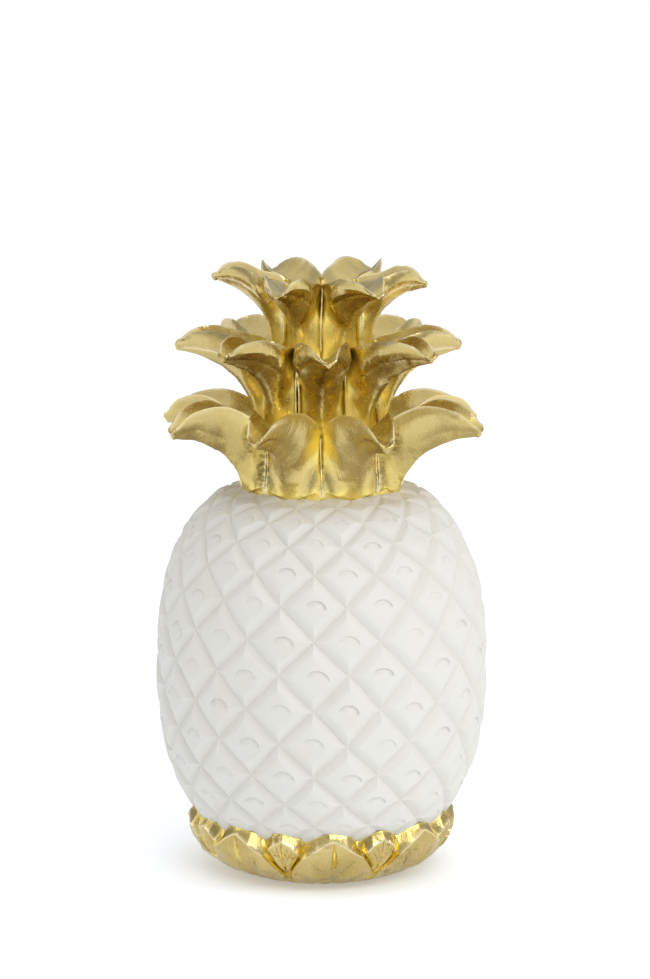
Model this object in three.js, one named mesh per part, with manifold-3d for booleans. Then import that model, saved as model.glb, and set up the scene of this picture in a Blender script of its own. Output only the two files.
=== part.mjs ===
// A pineapple ornament, cast in one piece: a fruit with carved diamond eyes, a collar of broad
// leaves that it stands on, and a crown of three tiers of thick trough leaves.
// Millimetres, +Z up, the front at -Y, the origin at the middle of the flat underside.
import * as THREE from "three";
import { mergeVertices } from "three/addons/utils/BufferGeometryUtils.js";
import Module from "manifold-3d";

// Fruit: a body of revolution, fullest at its waist.
const FRUIT_RADIUS = 68.6;
const FRUIT_RISE = 83; // waist to the top of the round form
const FRUIT_DROP = 82; // waist to the bottom of the round form
const FRUIT_FULLNESS = 2.5; // 2 is an ellipse, more is squarer
const FRUIT_SEAT = 4.5; // casting left under the fruit's lowest point
const NECK_DIP = 3; // depth by which the skin dips where the crown grows out of it
const NECK_REACH = 7; // height over which it dips
const PROFILE_STEPS = 600; // points of each half of the fruit's profile

// Eyes: square diamonds in staggered rings.
const EYES_PER_RING = 15;
const EYE_PHASE = 9; // degrees, of the even rings
const EYE_ROW_SHIFT = -0.44; // rows, of the first ring from the waist
const EYE_CORNER_SINK = 0.8; // of the crossings below the eyes' middles
const EYE_SHOULDER_SINK = 0.7;
const GROOVE_DEPTH = 2.4; // at the middle of an eye's side
const GROOVE_BEVEL = 0.26; // bevel's width as a share of the way to the eye's middle

// Crown: heights are above the line where the crown meets the fruit. Each tier gives the points
// that its leaves run through, from root to tip: the keel below, the margin at both sides, with
// its half width, and the crease on top. They are given for a crown whose lowest roots stand 33
// from the axis.
const CROWN_ROOT_RADIUS = 33;
const CROWN_SCALE = CROWN_ROOT_RADIUS / 33;
const INNER_ROOT = 0.33; // radius of a root's inner side, as a share of its outer one
const SEAM_OVERLAP = 1.5; // degrees by which neighbouring leaves run into each other
const SEAM_SINK = 1; // of the seam between two leaves below their roots' radius, at its foot
const SEAM_TOP_SINK = 3.6; // the same at the seam's top
const TIP_LENGTH = 1.9; // of the blunt end past the last section
const KEEL_ROUND_ROOT = 2.2; // power of the underside's curve, 1 is a sharp keel
const KEEL_ROUND_TIP = 1.15;
const TIERS = [
  {
    leaves: 8,
    phase: 22.5,
    root: { radius: 33, height: -4 },
    seamTop: 23.7,
    keel: [[0.8, 3.7], [4, 8.6], [10.5, 15.6], [22.5, 21], [32.6, 23.2]],
    margin: [[3.5, 12.6, 31.7], [14, 9.8, 36.2], [27, 5.6, 33.7], [33.4, 3, 27.4]],
    crease: [[-9, 17], [0, 24.5], [13, 29.2], [25, 30.2], [32.6, 27.2]],
    swing: [0, 1, 0, 1, -1, 0, 1, -1],
    lift: [0, 0.5, -2, -1, -1, -2, 0, 1.5],
    reach: [0.5, 1.5, 1, 0, 0, 2, -1.5, -1],
  },
  {
    leaves: 8,
    phase: 0,
    root: { radius: 26.5, height: 13 },
    seamTop: 57,
    keel: [[1.5, 31], [5, 39.5], [11.5, 47.2], [21, 52.5], [29.3, 55.4]],
    margin: [[5.5, 10.8, 61.2], [16.5, 9, 64.4], [25.5, 5.2, 63], [30, 2.9, 59.2]],
    crease: [[-8.5, 48], [2.5, 54.7], [14.5, 58], [24, 59.7], [29.5, 58.4]],
    swing: [3, 4, 0, 0, 0, 0, 0, -1],
    lift: [0, 0, 0, 0.5, 0, 0.5, 0, 0],
    reach: [-3, 1, -1, 0, 0, 0, 1.5, -2.5],
  },
  {
    leaves: 6,
    phase: 30,
    root: { radius: 19.5, height: 45 },
    seamTop: 82.5,
    keel: [[1.5, 64.2], [4.5, 70], [9, 74.7], [16, 79.2], [22.8, 81.4]],
    margin: [[6, 10.6, 86.5], [13.5, 9.2, 89.8], [20, 5.4, 87.8], [23.4, 2.9, 84.2]],
    crease: [[-9.5, 73], [2.5, 80.5], [11.5, 83.7], [18.5, 85.3], [23.1, 83.6]],
    swing: [1, 0, 0, 0, 0, 4],
    lift: [-0.5, -0.5, 0.5, 0, 2.5, -0.5],
    reach: [0, -1.5, 0, 0, 0, -3],
  },
];

// Core that the tiers grow from, stepped with them.
const CORE_INSET = 5; // of the core inside each tier's roots
const CORE_SLOPE = 1; // rise of each of its steps
const CORE_SIDES = 24;
const CORE_PIT = 16; // depth of the hollow in the middle of the top tier
const CORE_EMBED = 8; // depth of its foot in the fruit

// Collar of broad leaves round the foot, with a small leaf between each two.
const FOOT_FLAT_RADIUS = 30;
const COLLAR_HEIGHT = 21.5;
const COLLAR_PROUD = 4.2; // of the collar outside the fruit at its own height
const COLLAR_SWELL = 0.7; // power of the bowl's curve, less is fuller near the floor
const COLLAR_LIP = 0.4; // of the collar's top line outside the fruit
const COLLAR_TURN = 1; // drop of the collar's skin behind its top line
const COLLAR_BITE = 4.8; // depth of the collar in the fruit there
const COLLAR_LEAVES = 8;
const COLLAR_PHASE = 5;
const COLLAR_RELIEF = 1; // scale of the leaves' relief
const COLLAR_LOW_EDGE = 20.3; // degrees, half width of a broad leaf near the floor
const COLLAR_HIGH_EDGE = 11.5; // degrees, half width of a broad leaf at the top
const COLLAR_TAPER = 0.25; // share of the height from which the broad leaves narrow
const CHANNEL_WIDTH = 1.5; // degrees
const CHANNEL_GAP = 0.4; // degrees, least half width of a small leaf

const WELD = 1e-4; // points nearer than this are one

const SECTOR = 360 / COLLAR_LEAVES;
const EYE_PITCH = 180 / EYES_PER_RING; // half of an eye's diagonal, in degrees
const WAIST = FRUIT_SEAT + FRUIT_DROP;
const UP = new THREE.Vector3(0, 0, 1);

const radians = THREE.MathUtils.degToRad;
const lerp = THREE.MathUtils.lerp;

// Point at an azimuth in degrees from the front, a distance out and a distance to the side.
function polar(azimuth, out, height, side = 0) {
  const a = radians(azimuth);
  return new THREE.Vector3(
    out * Math.sin(a) + side * Math.cos(a),
    -out * Math.cos(a) + side * Math.sin(a),
    height,
  );
}

function fruitRadius(height) {
  const span = height > WAIST ? FRUIT_RISE : FRUIT_DROP;
  const share = Math.min(1, Math.abs(height - WAIST) / span);
  return FRUIT_RADIUS * (1 - share ** FRUIT_FULLNESS) ** (1 / FRUIT_FULLNESS);
}

// Half of the fruit's profile, as points with the turned length from the waist: distance along
// the profile over the radius, in degrees. Equal steps of it keep the diamonds square.
function turnedProfile(span, sign) {
  const points = [{ turned: 0, radius: FRUIT_RADIUS, height: WAIST }];
  for (let i = 1; i < PROFILE_STEPS; i++) {
    const angle = (i / PROFILE_STEPS) * (Math.PI / 2);
    const radius = FRUIT_RADIUS * Math.cos(angle) ** (2 / FRUIT_FULLNESS);
    const height = WAIST + sign * span * Math.sin(angle) ** (2 / FRUIT_FULLNESS);
    const last = points[i - 1];
    const length = Math.hypot(radius - last.radius, height - last.height);
    const mean = (radius + last.radius) / 2;
    const turned = last.turned + THREE.MathUtils.radToDeg(length / mean);
    points.push({ turned, radius, height });
  }
  return points;
}

const UPPER = turnedProfile(FRUIT_RISE, 1);
const LOWER = turnedProfile(FRUIT_DROP, -1);

// Point of the fruit's skin, sunk below it along the profile's normal.
function skinPoint(azimuth, turned, sink) {
  const half = turned < 0 ? LOWER : UPPER;
  const found = half.findIndex((p) => p.turned > Math.abs(turned));
  const next = half[found < 1 ? half.length - 1 : found];
  const last = half[found < 1 ? half.length - 2 : found - 1];
  const share = (Math.abs(turned) - last.turned) / (next.turned - last.turned);
  const normal = new THREE.Vector2(next.height - last.height, last.radius - next.radius);
  normal.normalize().multiplyScalar(turned < 0 ? -sink : sink);
  const radius = lerp(last.radius, next.radius, share) - normal.x;
  const height = lerp(last.height, next.height, share) - normal.y;
  const dip = NECK_DIP * THREE.MathUtils.smoothstep(height, NECK - NECK_REACH, NECK);
  return polar(azimuth, radius, height - dip);
}

function turnedAt(height) {
  const half = height < WAIST ? LOWER : UPPER;
  const found = half.findIndex((p) => Math.abs(p.height - WAIST) > Math.abs(height - WAIST));
  return Math.sign(height - WAIST) * half[found < 0 ? half.length - 1 : found].turned;
}

// Height at which the fruit's round form has the crown's radius, and where the two meet.
const NECK_SHARE = 1 - (CROWN_ROOT_RADIUS / FRUIT_RADIUS) ** FRUIT_FULLNESS;
const NECK = WAIST + FRUIT_RISE * NECK_SHARE ** (1 / FRUIT_FULLNESS);
const JUNCTION = NECK - NECK_DIP;

const wasm = await Module();
wasm.setup();

function solid(geometry) {
  const bare = geometry.clone();
  bare.deleteAttribute("normal");
  bare.deleteAttribute("uv");
  const merged = mergeVertices(bare, WELD);
  return new wasm.Manifold(
    new wasm.Mesh({
      numProp: 3,
      vertProperties: merged.attributes.position.array,
      triVerts: new Uint32Array(merged.index.array),
    }),
  );
}

function facets(triangles) {
  return new THREE.BufferGeometry().setFromPoints(triangles);
}

// Closed skin through rings of equal count, each ring turning anticlockwise as seen from the
// last one, with a point to close each end.
function loft(rings, start, end) {
  const triangles = [];
  rings[0].forEach((_, i) => {
    const j = (i + 1) % rings[0].length;
    triangles.push(start, rings[0][j], rings[0][i]);
    for (let k = 1; k < rings.length; k++) {
      const [a, b] = [rings[k - 1], rings[k]];
      triangles.push(a[i], a[j], b[j], a[i], b[j], b[i]);
    }
    const last = rings[rings.length - 1];
    triangles.push(end, last[i], last[j]);
  });
  return facets(triangles);
}

// Fruit: each eye is a pillow of eight facets inside eight bevels that fall to its grooves.
function makeFruit() {
  const triangles = [];
  const lowest = Math.floor(turnedAt(COLLAR_HEIGHT) / EYE_PITCH);
  const highest = Math.ceil(turnedAt(NECK) / EYE_PITCH);
  const top = new THREE.Vector3(0, 0, WAIST + FRUIT_RISE - GROOVE_DEPTH);
  const bottom = new THREE.Vector3(0, 0, WAIST - FRUIT_DROP + GROOVE_DEPTH);
  for (let row = lowest; row <= highest; row++) {
    for (let eye = 0; eye < EYES_PER_RING; eye++) {
      const azimuth = EYE_PHASE + (2 * eye + Math.abs(row % 2)) * EYE_PITCH;
      const turned = (row + EYE_ROW_SHIFT) * EYE_PITCH;
      const at = (across, up, sink) =>
        skinPoint(azimuth + across * EYE_PITCH, turned + up * EYE_PITCH, sink);
      const middle = at(0, 0, 0);
      const corners = [[1, 0], [0, 1], [-1, 0], [0, -1]];
      corners.forEach(([x, y], i) => {
        const [nextX, nextY] = corners[(i + 1) % 4];
        const corner = at(x, y, EYE_CORNER_SINK);
        const next = at(nextX, nextY, EYE_CORNER_SINK);
        const [halfX, halfY] = [(x + nextX) / 2, (y + nextY) / 2];
        const inward = 1 - GROOVE_BEVEL;
        const groove = at(halfX, halfY, GROOVE_DEPTH);
        const shoulder = at(halfX * inward, halfY * inward, EYE_SHOULDER_SINK);
        triangles.push(middle, corner, shoulder, middle, shoulder, next);
        triangles.push(corner, groove, shoulder, groove, next, shoulder);
        if (row === highest && halfY > 0) triangles.push(groove, corner, top, next, groove, top);
        if (row === lowest && halfY < 0)
          triangles.push(groove, corner, bottom, next, groove, bottom);
      });
    }
  }
  return solid(facets(triangles));
}

// Crown leaf: sections with five points below, from margin to keel to margin, and three on top.
const BELOW = [-1, -0.5, 0, 0.5, 1];
const ABOVE = [0.55, 0, -0.55];
const STATIONS = [0, 0.2, 0.34, 0.47, 0.6, 0.73, 0.87, 1];

function leafCurves(tier, index) {
  const radius = tier.root.radius * CROWN_SCALE;
  const height = tier.root.height * CROWN_SCALE;
  const half = radians(180 / tier.leaves + SEAM_OVERLAP);
  const seam = (sink, up) =>
    new THREE.Vector3((radius - sink) * Math.cos(half), (radius - sink) * Math.sin(half), JUNCTION + up);
  const point = (out, side, up, share) =>
    new THREE.Vector3(
      radius + (out + tier.reach[index] * share) * CROWN_SCALE,
      side * CROWN_SCALE,
      JUNCTION + (up + tier.lift[index] * share) * CROWN_SCALE,
    );
  const keel = [new THREE.Vector3(radius, 0, JUNCTION + height)];
  const crease = [new THREE.Vector3(radius * INNER_ROOT, 0, JUNCTION + height)];
  const margin = [seam(SEAM_SINK, height), seam(SEAM_TOP_SINK, tier.seamTop * CROWN_SCALE)];
  tier.keel.forEach(([out, up], i) => keel.push(point(out, 0, up, i / 4)));
  tier.crease.forEach(([out, up], i) => crease.push(point(out, 0, up, i / 4)));
  tier.margin.forEach(([out, side, up], i) => margin.push(point(out, side, up, (i + 1) / 4)));
  return [keel, margin, crease].map((points) => new THREE.CatmullRomCurve3(points));
}

function makeLeaf(tier, index) {
  const [keel, margin, crease] = leafCurves(tier, index);
  const azimuth = tier.phase + (index * 360) / tier.leaves;
  const place = (p, share) =>
    polar(azimuth + tier.swing[index] * share ** 2, p.x, p.z, p.y);
  const rings = STATIONS.map((share) => {
    const [low, edge, mid] = [keel, margin, crease].map((curve) => curve.getPoint(share));
    const roundness = lerp(KEEL_ROUND_ROOT, KEEL_ROUND_TIP, share);
    const under = BELOW.map((a) => {
      const p = low.clone().lerp(edge, Math.abs(a) ** roundness);
      return place(p.setY(edge.y * a), share);
    });
    const over = ABOVE.map((a) => {
      const p = mid.clone().lerp(edge, Math.abs(a));
      return place(p.setY(edge.y * a), share);
    });
    return [...under, ...over];
  });
  const middle = (ring) =>
    ring.reduce((sum, p) => sum.add(p), new THREE.Vector3()).divideScalar(ring.length);
  const tip = middle(rings[rings.length - 1]);
  tip.add(polar(azimuth, TIP_LENGTH, 0));
  return solid(loft(rings, middle(rings[0]), tip));
}

// Core: a stepped round stem that all the leaves' roots run into.
function makeCore() {
  const radii = TIERS.map((tier) => tier.root.radius * CROWN_SCALE - CORE_INSET);
  const steps = TIERS.slice(1).map((tier) => JUNCTION + tier.root.height * CROWN_SCALE);
  const foot = JUNCTION - CORE_EMBED;
  const top = JUNCTION + TIERS[2].seamTop * CROWN_SCALE - CORE_PIT;
  const profile = [[0, foot], [radii[0], foot], [radii[0], steps[0]], [radii[1], steps[0] + CORE_SLOPE]];
  profile.push([radii[1], steps[1]], [radii[2], steps[1] + CORE_SLOPE], [radii[2], top], [0, top]);
  const lathe = new THREE.LatheGeometry(profile.map(([r, z]) => new THREE.Vector2(r, z)), CORE_SIDES);
  lathe.rotateX(Math.PI / 2);
  return solid(lathe);
}

// Collar: columns from the middle vein of a broad leaf to the middle of the small leaf beside
// it. Each column gives its place across, its relief, the height of its ridge and that of the
// line where the collar's chamfer meets the fruit.
const COLUMNS = [
  { across: "broad", share: 0, relief: -0.2, ridge: 22.3, top: 24.6 },
  { across: "broad", share: 0.13, relief: 1.1, ridge: 22, top: 24.6 },
  { across: "broad", share: 0.6, relief: 1.6, ridge: 19.2, top: 23.4 },
  { across: "broad", share: 1, relief: 1.1, ridge: 15.5, top: 21 },
  { across: "channel", share: 1, relief: -2.2, ridge: 15.5, top: 21 },
  { across: "small", share: 0.5, relief: -0.6, ridge: 19.6, top: 23.6 },
  { across: "small", share: 1, relief: 0, ridge: 21.8, top: 24.8 },
];
const COLLAR_ROWS = [0, 0.14, 0.34, 0.62, 1];

function collarAcross(column, height) {
  const share = THREE.MathUtils.smoothstep(height, COLLAR_HEIGHT * COLLAR_TAPER, COLLAR_HEIGHT);
  const edge = lerp(COLLAR_LOW_EDGE, COLLAR_HIGH_EDGE, share);
  const channel = Math.min(edge + CHANNEL_WIDTH, SECTOR / 2 - CHANNEL_GAP);
  if (column.across === "broad") return edge * column.share;
  if (column.across === "channel") return channel;
  return lerp(channel, SECTOR / 2, column.share);
}

function bowlRadius(height) {
  const full = fruitRadius(COLLAR_HEIGHT) + COLLAR_PROUD;
  const share = Math.min(1, height / COLLAR_HEIGHT);
  return lerp(FOOT_FLAT_RADIUS, full, (1 - (1 - share) ** 2) ** COLLAR_SWELL);
}

function makeCollar() {
  const scale = COLLAR_HEIGHT / 20; // ridges and tops are given for a collar 20 high
  const mirrored = COLUMNS.slice(1, -1).reverse();
  const columns = [
    ...COLUMNS.map((column) => ({ column, side: 1 })),
    ...mirrored.map((column) => ({ column, side: -1 })),
  ];
  const ring = (place) => {
    const points = [];
    for (let leaf = 0; leaf < COLLAR_LEAVES; leaf++)
      columns.forEach(({ column, side }) => {
        const start = COLLAR_PHASE + (leaf + (side < 0 ? 1 : 0)) * SECTOR;
        points.push(place(column, (across) => start + side * across));
      });
    return points;
  };
  const rings = COLLAR_ROWS.map((row) =>
    ring((column, azimuthOf) => {
      const height = row * column.ridge * scale;
      const relief = column.relief * COLLAR_RELIEF * Math.min(1, row / COLLAR_ROWS[2]);
      const azimuth = azimuthOf(collarAcross(column, height));
      return polar(azimuth, bowlRadius(height) + relief, height);
    }),
  );
  const shoulder = (height) => fruitRadius(height) + COLLAR_LIP;
  rings.push(
    ring((column, azimuthOf) => {
      const height = column.top * scale;
      return polar(azimuthOf(collarAcross(column, height)), shoulder(height), height);
    }),
  );
  rings.push(
    ring((column, azimuthOf) => {
      const height = column.top * scale - COLLAR_TURN;
      const inside = fruitRadius(height) - COLLAR_BITE;
      return polar(azimuthOf(collarAcross(column, height)), inside, height);
    }),
  );
  const inner = UP.clone().multiplyScalar(COLLAR_HEIGHT);
  return solid(loft(rings, new THREE.Vector3(), inner));
}

function makeOrnament() {
  const leaves = TIERS.flatMap((tier) => tier.swing.map((_, index) => makeLeaf(tier, index)));
  const whole = [makeFruit(), makeCollar(), makeCore(), ...leaves].reduce((a, b) => a.add(b));
  const { vertProperties, triVerts } = whole.getMesh();
  const geometry = new THREE.BufferGeometry();
  geometry.setAttribute("position", new THREE.BufferAttribute(vertProperties, 3));
  geometry.setIndex(new THREE.BufferAttribute(triVerts, 1));
  geometry.computeVertexNormals();
  const material = new THREE.MeshStandardMaterial({
    color: "#dcd8cf",
    roughness: 0.7,
    metalness: 0,
    flatShading: true,
  });
  const mesh = new THREE.Mesh(geometry, material);
  mesh.name = "pineapple_ornament";
  return mesh;
}

const ornament = new THREE.Group();
ornament.add(makeOrnament());

export default ornament;
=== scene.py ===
import math

import bmesh
import bpy
import numpy as np
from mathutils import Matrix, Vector, noise
from mathutils.bvhtree import BVHTree
from mathutils.kdtree import KDTree


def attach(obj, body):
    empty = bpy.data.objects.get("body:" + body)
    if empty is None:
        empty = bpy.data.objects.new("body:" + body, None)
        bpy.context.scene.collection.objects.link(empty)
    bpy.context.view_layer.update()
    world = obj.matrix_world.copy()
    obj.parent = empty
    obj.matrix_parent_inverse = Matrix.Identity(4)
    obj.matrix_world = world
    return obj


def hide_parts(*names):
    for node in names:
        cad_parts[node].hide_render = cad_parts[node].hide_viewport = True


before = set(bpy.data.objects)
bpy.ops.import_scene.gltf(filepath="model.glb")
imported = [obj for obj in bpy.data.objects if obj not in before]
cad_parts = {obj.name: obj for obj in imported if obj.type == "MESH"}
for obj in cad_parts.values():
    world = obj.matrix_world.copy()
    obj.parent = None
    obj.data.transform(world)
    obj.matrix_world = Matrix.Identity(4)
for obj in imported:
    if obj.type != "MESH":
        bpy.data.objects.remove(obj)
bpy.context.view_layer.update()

# A pineapple ornament cast in one piece: a fruit painted white, and a crown and a collar of
# leaves painted gold. Lengths are millimetres where a name says nothing else, angles degrees.
NODE = "pineapple_ornament"
MM = 0.001

# Fruit, a round form that is fullest at its waist
FRUIT_RADIUS = 68.6
FRUIT_RISE = 83
FRUIT_DROP = 82
FRUIT_FULLNESS = 2.5
FRUIT_SEAT = 4.5
NECK_DIP = 3
NECK_REACH = 7
CROWN_ROOT_RADIUS = 33
WAIST = FRUIT_SEAT + FRUIT_DROP
NECK_SHARE = 1 - (CROWN_ROOT_RADIUS / FRUIT_RADIUS) ** FRUIT_FULLNESS
NECK = WAIST + FRUIT_RISE * NECK_SHARE ** (1 / FRUIT_FULLNESS)
JUNCTION = NECK - NECK_DIP

# Eyes, square diamonds in staggered rings
EYES_PER_RING = 15
EYE_PITCH = 180 / EYES_PER_RING
EYE_PHASE = 9
EYE_ROW_SHIFT = -0.44
LOWEST_ROW = -5
EYE_ROWS = 15
SIDE_CELLS = 8
GROOVE_DEPTH = 2.4
CORNER_SINK = 2.1
SHOULDER_SINK = 0.35
# In shares of the eye's half diagonal
BEVEL_WIDTH = 0.31
BEVEL_SWELL = 0.03
NAIL_PLACE = (0.07, -0.07)
NAIL_HALF_WIDTH = 0.31
NAIL_HALF_HEIGHT = 0.25
NAIL_DEPTH = 0.75
# Rings of points from groove to shoulder, over the pillow, and down into the nail mark, each of
# the last with its reach from the nail's middle and its share of the nail's depth
BEVEL_STEPS = (0, 0.07, 0.5, 0.95, 1.0)
PILLOW_STEPS = (0.12, 0.45, 0.8)
NAIL_STEPS = ((1.1, 0.0), (0.99, 1.0), (0.78, 0.72), (0.45, 0.18))
MERGE_GAP = 0.03
# The open ends of the fruit are gathered in a point at these heights, hidden by foot and crown
LOW_POLE = FRUIT_SEAT * 4
HIGH_POLE = JUNCTION - 4
# The relief grows flatter this far below the crown, and between these heights above the foot
NECK_FADE = 12
FOOT_FADE = (22, 34)


# Node trees, written as sums

class Value:
    """One output of a node. Sums on it become Math nodes."""

    def __init__(self, tree, made, socket):
        self.tree = tree
        self.made = made
        self.socket = socket

    def output(self, name):
        return Value(self.tree, self.made, self.made.outputs[name])

    def math(self, operation, *others):
        values = dict(enumerate([self, *others]))
        return self.tree.node("ShaderNodeMath", {"operation": operation}, values)

    def __add__(self, other):
        return self.math("ADD", other)

    def __radd__(self, other):
        return self.math("ADD", other)

    def __sub__(self, other):
        return self.math("SUBTRACT", other)

    def __rsub__(self, other):
        values = {0: other, 1: self}
        return self.tree.node("ShaderNodeMath", {"operation": "SUBTRACT"}, values)

    def __mul__(self, other):
        return self.math("MULTIPLY", other)

    def __rmul__(self, other):
        return self.math("MULTIPLY", other)

    def __truediv__(self, other):
        return self.math("DIVIDE", other)

    def clamped(self):
        return self.math("MAXIMUM", 0.0).math("MINIMUM", 1.0)


class Tree:
    """A node tree in the making."""

    def __init__(self, tree):
        self.nodes = tree.nodes
        self.links = tree.links

    def node(self, kind, settings=None, values=None, output=0):
        made = self.nodes.new(kind)
        for name, setting in (settings or {}).items():
            setattr(made, name, setting)
        for key, value in (values or {}).items():
            if isinstance(value, Value):
                self.links.new(value.socket, made.inputs[key])
            else:
                made.inputs[key].default_value = value
        return Value(self, made, made.outputs[output] if made.outputs else None)

    def combine(self, x, y, z):
        return self.node("ShaderNodeCombineXYZ", None, {0: x, 1: y, 2: z})

    def split(self, vector):
        apart = self.node("ShaderNodeSeparateXYZ", None, {0: vector})
        return apart, apart.output("Y"), apart.output("Z")

    def smoothstep(self, value, low, high):
        settings = {"interpolation_type": "SMOOTHSTEP"}
        return self.node("ShaderNodeMapRange", settings, {0: value, 1: low, 2: high})

    def tint(self, factor, first, second):
        return self.node("ShaderNodeMix", {"data_type": "RGBA"}, {0: factor, 6: first, 7: second}, 2)


# Meshes

def new_object(name, vertices, faces):
    mesh = bpy.data.meshes.new(name)
    mesh.from_pydata([tuple(v) for v in vertices], [], faces)
    made = bpy.data.objects.new(name, mesh)
    bpy.context.scene.collection.objects.link(made)
    return made


def plain_mesh(made):
    """Turns what the object's modifiers make into its own mesh."""
    depsgraph = bpy.context.evaluated_depsgraph_get()
    mesh = bpy.data.meshes.new_from_object(made.evaluated_get(depsgraph))
    mesh.name = made.name
    made.modifiers.clear()
    made.data = mesh
    return made


def remove(made):
    bpy.data.objects.remove(made, do_unlink=True)


def store(mesh, name, values):
    attribute = mesh.attributes.new(name, "FLOAT", "POINT")
    attribute.data.foreach_set("value", np.asarray(values, dtype=np.float32))


# Fruit

def fruit_radius(height):
    span = np.where(np.asarray(height) > WAIST, FRUIT_RISE, FRUIT_DROP)
    share = np.minimum(1, np.abs(height - WAIST) / span)
    return FRUIT_RADIUS * (1 - share**FRUIT_FULLNESS) ** (1 / FRUIT_FULLNESS)


def smooth(value, low, high):
    share = np.clip((value - low) / (high - low), 0, 1)
    return share * share * (3 - 2 * share)


def turned_half(span, sign):
    """Half of the profile: degrees turned from the waist, radius and height. Equal steps of the
    turned length keep the eyes square."""
    angle = np.linspace(0, math.pi / 2, 3000)[:-1]
    radius = FRUIT_RADIUS * np.cos(angle) ** (2 / FRUIT_FULLNESS)
    height = WAIST + sign * span * np.sin(angle) ** (2 / FRUIT_FULLNESS)
    length = np.hypot(np.diff(radius), np.diff(height))
    steps = np.degrees(length / ((radius[1:] + radius[:-1]) / 2))
    return sign * np.concatenate([[0], np.cumsum(steps)]), radius, height


PROFILE_START = -84
PROFILE_END = 122
PROFILE_STEP = 0.5


def make_profile():
    """The fruit's profile at equal turned steps, for the eyes to be laid on."""
    upper = turned_half(FRUIT_RISE, 1)
    lower = turned_half(FRUIT_DROP, -1)
    whole = [np.concatenate([low[:0:-1], up]) for low, up in zip(lower, upper)]
    turned = np.arange(PROFILE_START, PROFILE_END, PROFILE_STEP)
    radius = np.interp(turned, whole[0], whole[1])
    height = np.interp(turned, whole[0], whole[2])
    out = np.column_stack([np.gradient(height), np.zeros(len(turned)), -np.gradient(radius)])
    out /= np.linalg.norm(out, axis=1)[:, None]
    height = height - NECK_DIP * smooth(height, NECK - NECK_REACH, NECK)
    points = np.column_stack([radius, np.zeros(len(turned)), height]) * MM
    profile = new_object("fruit_profile", points, [])
    attribute = profile.data.attributes.new("outward", "FLOAT_VECTOR", "POINT")
    attribute.data.foreach_set("vector", out.astype(np.float32).ravel())
    return profile


def diamond_outline():
    corners = np.array([(1, 0), (0, 1), (-1, 0), (0, -1), (1, 0)], dtype=float)
    share = np.arange(SIDE_CELLS) / SIDE_CELLS
    sides = [(1 - share)[:, None] * a + share[:, None] * b for a, b in zip(corners, corners[1:])]
    return np.concatenate(sides), np.tile(share, 4)


def make_eye():
    """One carved eye: a diamond pillow, bevels down to its grooves and a gouged nail mark.
    The plane is in degrees, the relief in metres."""
    outline, along = diamond_outline()
    count = len(outline)
    lens = (1 - (2 * along - 1) ** 2) ** 0.5
    inward = BEVEL_WIDTH + BEVEL_SWELL * lens
    shoulder = outline * (1 - inward)[:, None]
    nail_centre = np.array(NAIL_PLACE)
    direction = np.arctan2(outline[:, 1], outline[:, 0])
    across, upward = np.cos(direction), np.sin(direction)
    nail = nail_centre + np.column_stack([NAIL_HALF_WIDTH * across, NAIL_HALF_HEIGHT * upward])
    arc = smooth(np.sin(direction + 0.10), 0.0, 0.45)
    groove = GROOVE_DEPTH * lens + CORNER_SINK * (1 - lens)
    top = SHOULDER_SINK + 0.1 * lens
    rings = []
    for share in BEVEL_STEPS:
        plane = outline + (shoulder - outline) * share
        rounded = share + 0.05 * math.sin(math.pi * share)
        depth = groove + (top - groove) * rounded
        rings.append((plane, depth, np.zeros(count), 0.0, 0.4 - 0.4 * share))
    for share in PILLOW_STEPS:
        plane = shoulder + (nail * 1.12 - shoulder) * share
        rings.append((plane, top * (1 - share) ** 2, np.zeros(count), share, 0.0))
    for reach, cut in NAIL_STEPS:
        plane = nail_centre + (nail - nail_centre) * reach
        rings.append((plane, np.zeros(count), cut * arc, 1.0, 0.15 * cut * arc))
    vertices, nails, inner, recess = [], [], [], []
    for plane, depth, cut, share, low in rings:
        vertices += [(x * EYE_PITCH, y * EYE_PITCH, -d * MM) for (x, y), d in zip(plane, depth)]
        nails += list(-cut * NAIL_DEPTH * MM)
        inner += [share] * count
        recess += list(np.broadcast_to(low, count))
    vertices.append((nail_centre[0] * EYE_PITCH, nail_centre[1] * EYE_PITCH, 0.0))
    nails.append(0.0)
    inner.append(1.0)
    recess.append(0.0)
    faces = []
    for k in range(len(rings) - 1):
        for i in range(count):
            j = (i + 1) % count
            faces.append((k * count + i, k * count + j, (k + 1) * count + j, (k + 1) * count + i))
    last = (len(rings) - 1) * count
    faces += [(last + i, last + (i + 1) % count, len(vertices) - 1) for i in range(count)]
    eye = new_object("carved_eye", vertices, faces)
    store(eye.data, "nail", nails)
    store(eye.data, "inner", inner)
    # The recess share sets where shade is painted on the white paint.
    store(eye.data, "recess", recess)
    return eye


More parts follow.
